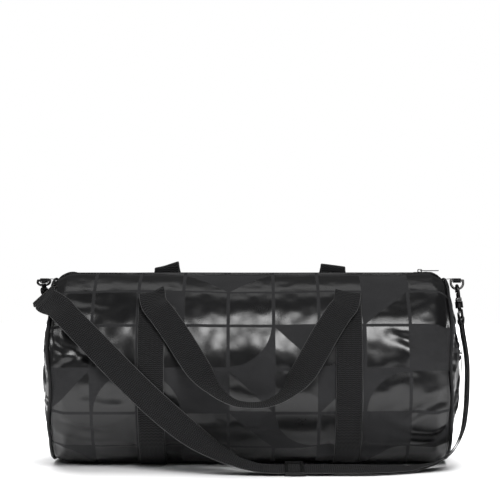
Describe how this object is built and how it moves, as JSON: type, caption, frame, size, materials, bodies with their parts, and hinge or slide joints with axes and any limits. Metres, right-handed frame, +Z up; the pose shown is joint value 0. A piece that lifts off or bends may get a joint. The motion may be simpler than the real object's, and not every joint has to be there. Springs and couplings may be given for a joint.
{
  "type": "duffel bag",
  "caption": "Barrel duffel bag with a top zip mouth, zipped end pocket, two webbing carry handles and a clip-on adjustable shoulder strap.",
  "frame": {"origin": "middle of the underside of the base panel", "axes": "+Z up, +X along the bag towards the pocket end, -Y is the front"},
  "size_m": [0.6341, 0.3743, 0.2911],
  "materials": {
    "shell_fabric": "matte woven coated cloth with glossier printed tiles",
    "lining": "dark lining cloth",
    "webbing": "ribbed woven webbing",
    "piping": "covered cord",
    "tape": "woven zip tape",
    "zip_coil": "moulded coil",
    "metal": "dark plated",
    "spring": "wire"
  },
  "bodies": {
    "bag": {"base_panel": "shell_fabric", "base_seam_bindings": "lining", "front_left_webbing": "webbing", "front_panel": "shell_fabric", "front_right_webbing": "webbing", "left_end_panel": "shell_fabric", "left_piping": "piping", "left_ring_tab": "webbing", "left_seam_binding": "lining", "pocket_pouch": "lining", "pocket_zip_tapes": "tape", "pocket_zip_teeth": "zip_coil", "rear_left_webbing": "webbing", "rear_panel": "shell_fabric", "rear_right_webbing": "webbing", "right_end_panel": "shell_fabric", "right_piping": "piping", "right_ring_tab": "webbing", "right_seam_binding": "lining", "zip_end_patches": "lining", "zip_stops": "metal"},
    "main_slider": {"main_zip_slider": "metal"},
    "main_puller": {"main_zip_puller": "metal"},
    "front_mouth": {"front_mouth_panel": "shell_fabric", "front_zip_tape": "tape", "front_zip_teeth": "zip_coil"},
    "rear_mouth": {"rear_mouth_panel": "shell_fabric", "rear_zip_tape": "tape", "rear_zip_teeth": "zip_coil"},
    "pocket_slider": {"pocket_zip_slider": "metal"},
    "pocket_puller": {"pocket_zip_puller": "metal"},
    "front_carry": {"front_handle": "webbing"},
    "rear_carry": {"rear_handle": "webbing"},
    "strap": {"shoulder_strap": "webbing", "strap_return": "webbing", "left_strap_eye": "metal", "right_strap_eye": "metal"},
    "adjuster": {"strap_adjuster": "metal", "adjuster_tail": "webbing"},
    "left_ring": {"left_d_ring": "metal"},
    "right_ring": {"right_d_ring": "metal"},
    "left_clip": {"left_hook": "metal", "left_gate_pin": "metal", "left_gate_spring": "spring"},
    "right_clip": {"right_hook": "metal", "right_gate_pin": "metal", "right_gate_spring": "spring"},
    "left_gate": {"left_hook_gate": "metal"},
    "right_gate": {"right_hook_gate": "metal"}
  },
  "joints": [
    {"name": "main_zip_slide", "type": "slide", "parent": "bag", "child": "main_slider", "axis": [1, 0, 0], "range_m": [-0.48, 0]},
    {"name": "main_puller_swing", "type": "hinge", "parent": "main_slider", "child": "main_puller", "pos_m": [0.254, 0, 0.2822], "axis": [0, -1, 0], "range_deg": [0, 175]},
    {"name": "front_mouth_open", "type": "hinge", "parent": "bag", "child": "front_mouth", "pos_m": [0, 0, 0.137], "axis": [1, 0, 0], "range_deg": [0, 33.2]},
    {"name": "rear_mouth_open", "type": "hinge", "parent": "bag", "child": "rear_mouth", "pos_m": [0, 0, 0.137], "axis": [-1, 0, 0], "range_deg": [0, 33.2]},
    {"name": "pocket_zip_slide", "type": "hinge", "parent": "bag", "child": "pocket_slider", "pos_m": [-0.09202, 0, 0.165], "axis": [0, 0, 1], "range_deg": [0, 19.5]},
    {"name": "pocket_puller_swing", "type": "hinge", "parent": "pocket_slider", "child": "pocket_puller", "pos_m": [0.30566, -0.06854, 0.165], "axis": [0.1698, 0.9855, 0], "range_deg": [-140, 0]},
    {"name": "front_handle_swing", "type": "hinge", "parent": "bag", "child": "front_carry", "pos_m": [0, -0.1005, 0.24862], "axis": [-1, 0, 0], "range_deg": [0, 140]},
    {"name": "rear_handle_swing", "type": "hinge", "parent": "bag", "child": "rear_carry", "pos_m": [0, 0.08838, 0.28502], "axis": [1, 0, 0], "range_deg": [0, 150]},
    {"name": "strap_swing", "type": "hinge", "parent": "bag", "child": "strap", "pos_m": [0, -0.03, 0.268], "axis": [-1, 0, 0], "range_deg": [0, 150]},
    {"name": "left_ring_swing", "type": "hinge", "parent": "bag", "child": "left_ring", "pos_m": [-0.303, -0.03, 0.268], "axis": [-1, 0, 0], "range_deg": [0, 150]},
    {"name": "right_ring_swing", "type": "hinge", "parent": "bag", "child": "right_ring", "pos_m": [0.3045, -0.03, 0.268], "axis": [-1, 0, 0], "range_deg": [0, 150]},
    {"name": "left_hook_swivel", "type": "hinge", "parent": "strap", "child": "left_clip", "pos_m": [-0.303, -0.04103, 0.26112], "axis": [-0.1891, 0.9254, 0.3284], "range_deg": [-8, 8]},
    {"name": "right_hook_swivel", "type": "hinge", "parent": "strap", "child": "right_clip", "pos_m": [0.3045, -0.0339, 0.2556], "axis": [-0.1002, 0.1603, 0.982], "range_deg": [-8, 8]},
    {"name": "left_gate_open", "type": "hinge", "parent": "left_clip", "child": "left_gate", "pos_m": [-0.30005, -0.05264, 0.24798], "axis": [0.982, 0.1782, 0.0632], "range_deg": [0, 22], "stiffness_Nm_per_rad": 0.002},
    {"name": "right_gate_open", "type": "hinge", "parent": "right_clip", "child": "right_gate", "pos_m": [0.30606, -0.02801, 0.23889], "axis": [0.995, 0.0161, 0.0989], "range_deg": [0, 22], "stiffness_Nm_per_rad": 0.002},
    {"name": "strap_adjuster_slide", "type": "slide", "parent": "strap", "child": "adjuster", "axis": [1, 0, 0], "range_m": [0, 0.04]}
  ],
  "couplings": [
    {"joint": "front_mouth_open", "follows": "main_zip_slide", "rad_per_m": -1.1999},
    {"joint": "rear_mouth_open", "follows": "main_zip_slide", "rad_per_m": -1.1999},
    {"joint": "left_ring_swing", "follows": "strap_swing", "ratio": 1},
    {"joint": "right_ring_swing", "follows": "strap_swing", "ratio": 1}
  ]
}
